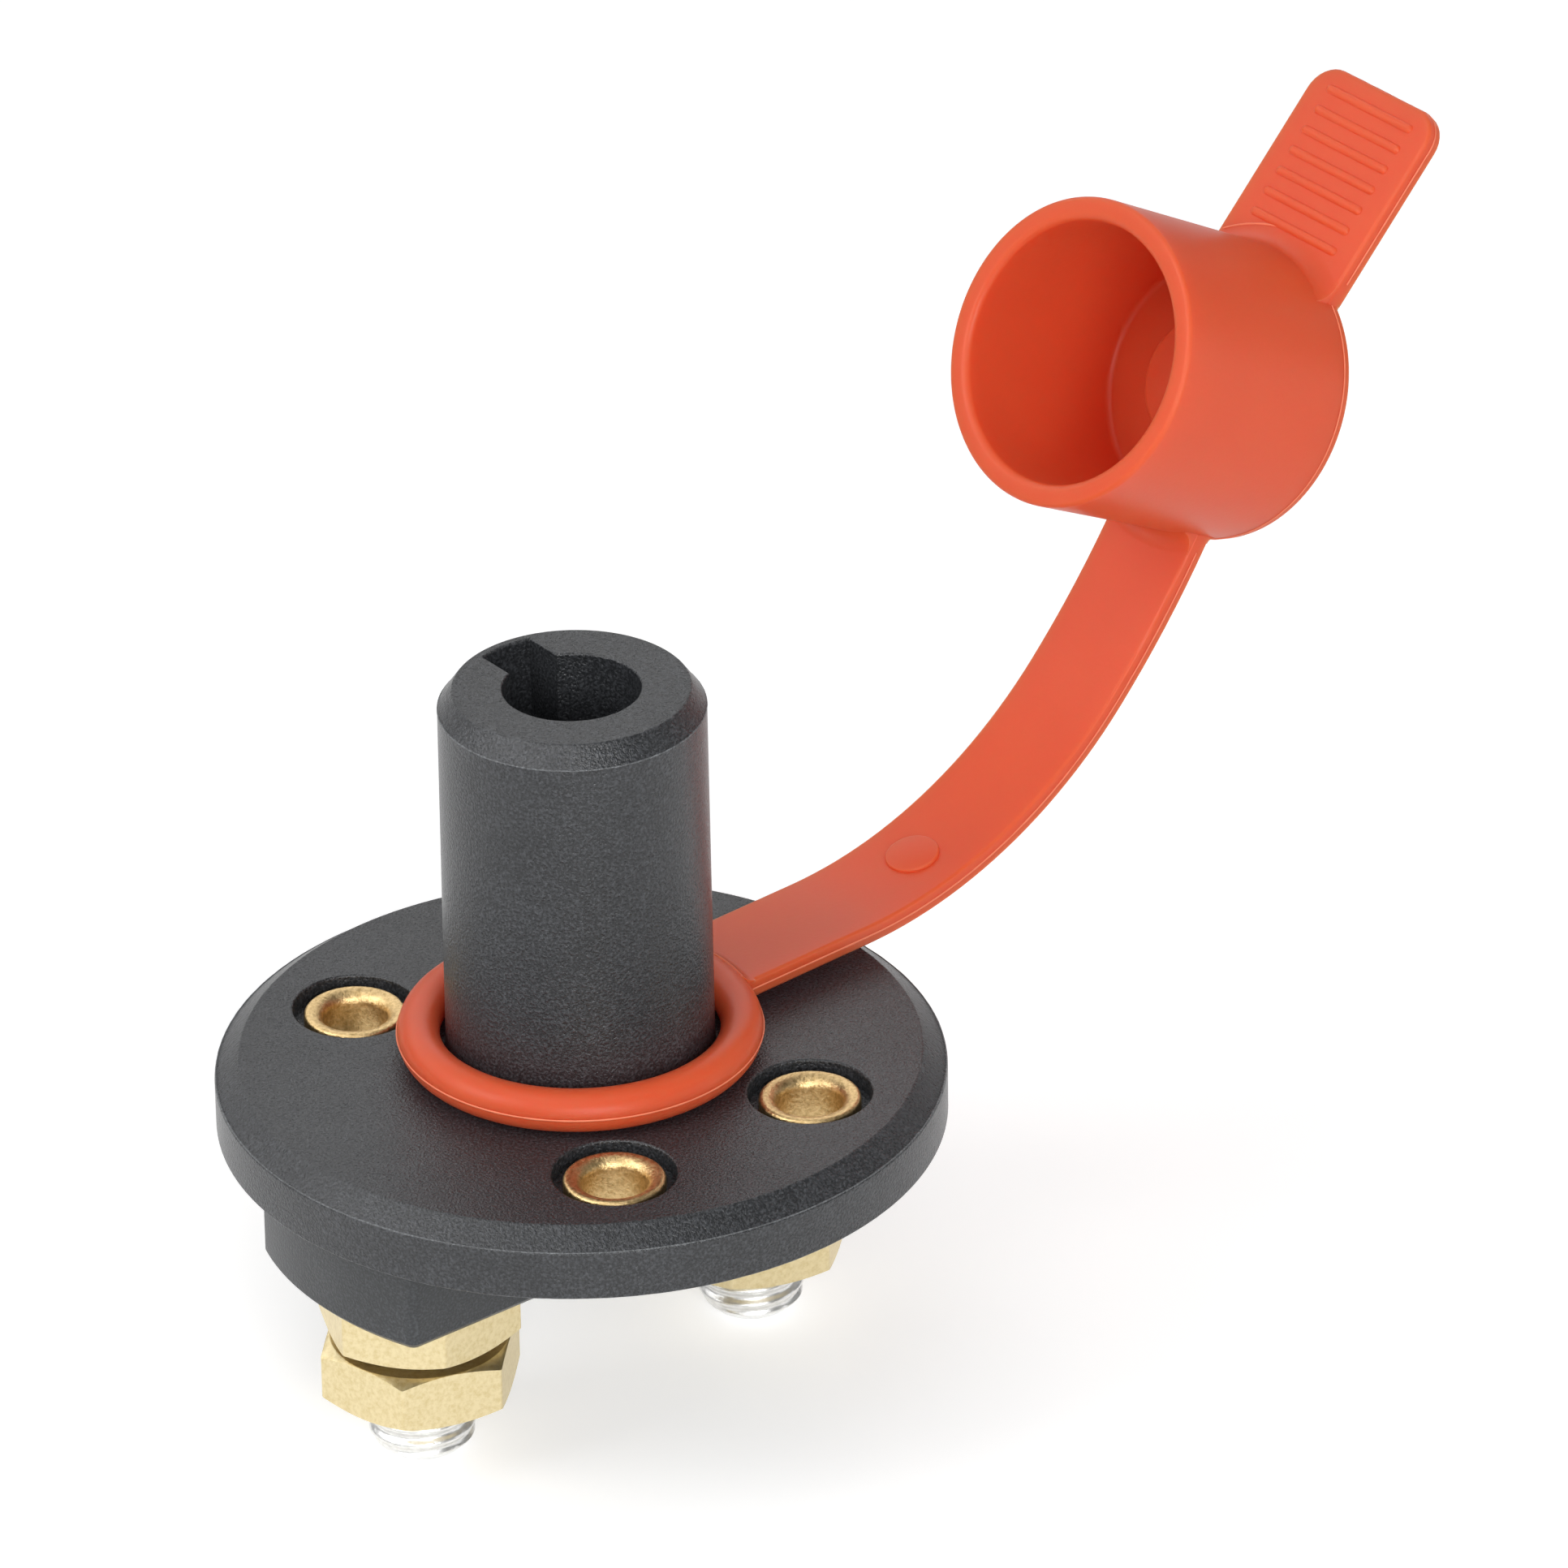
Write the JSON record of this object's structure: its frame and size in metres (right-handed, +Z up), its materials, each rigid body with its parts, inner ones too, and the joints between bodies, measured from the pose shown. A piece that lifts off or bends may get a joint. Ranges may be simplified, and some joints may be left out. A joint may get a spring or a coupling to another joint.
{
  "type": "battery isolation switch",
  "caption": "Round-flanged vehicle battery isolation switch with a slotted key barrel, sprung contact bridge, threaded terminal studs and a tethered soft sealing cap.",
  "frame": {"origin": "centre of the fixing-hole pattern on the mounting face, the underside of the flange", "axes": "+Z up the key barrel, +X along the two terminal studs, +Y towards the key slot"},
  "size_m": [0.1369, 0.068, 0.0994],
  "materials": {
    "housing_plastic": "fine-grained dark grey moulding",
    "base_plastic": "fine-grained dark grey moulding",
    "eyelet_brass": "rolled, slightly dull",
    "stud_metal": "plated, bright",
    "nut_brass": "machined",
    "plunger_plastic": "smooth black",
    "seal_rubber": "smooth",
    "spring_steel": "drawn wire",
    "bridge_copper": "bright copper",
    "cap_plastic": "soft satin orange-red moulding"
  },
  "bodies": {
    "root": {"upper_housing": "housing_plastic", "contact_base": "base_plastic", "fixing_eyelet_1": "eyelet_brass", "fixing_eyelet_2": "eyelet_brass", "fixing_eyelet_3": "eyelet_brass", "fixing_eyelet_4": "eyelet_brass", "terminal_stud_left": "stud_metal", "terminal_stud_right": "stud_metal", "inner_nut_left": "nut_brass", "inner_nut_right": "nut_brass", "outer_nut_left": "nut_brass", "outer_nut_right": "nut_brass", "return_spring": "spring_steel"},
    "plunger": {"plunger": "plunger_plastic", "plunger_seal": "seal_rubber", "retaining_clip": "spring_steel"},
    "bridge": {"contact_bridge": "bridge_copper", "spring_seat": "spring_steel", "contact_spring": "spring_steel"},
    "cap": {"sealing_cap": "cap_plastic"}
  },
  "joints": [
    {"name": "plunger_slide", "type": "slide", "parent": "root", "child": "plunger", "axis": [0, 0, 1], "range_m": [-0.0045, 0], "stiffness_N_per_m": 2000, "springref_m": 0.004, "deforming": ["contact_spring"]},
    {"name": "bridge_slide", "type": "slide", "parent": "root", "child": "bridge", "axis": [0, 0, 1], "range_m": [-0.0035, 0], "deforming": ["return_spring"]},
    {"name": "cap_swivel", "type": "hinge", "parent": "root", "child": "cap", "pos_m": [0, 0, 0.0087], "axis": [0, 0, 1], "continuous": true}
  ],
  "couplings": [
    {"joint": "bridge_slide", "follows": "plunger_slide", "ratio": 0.7777}
  ]
}
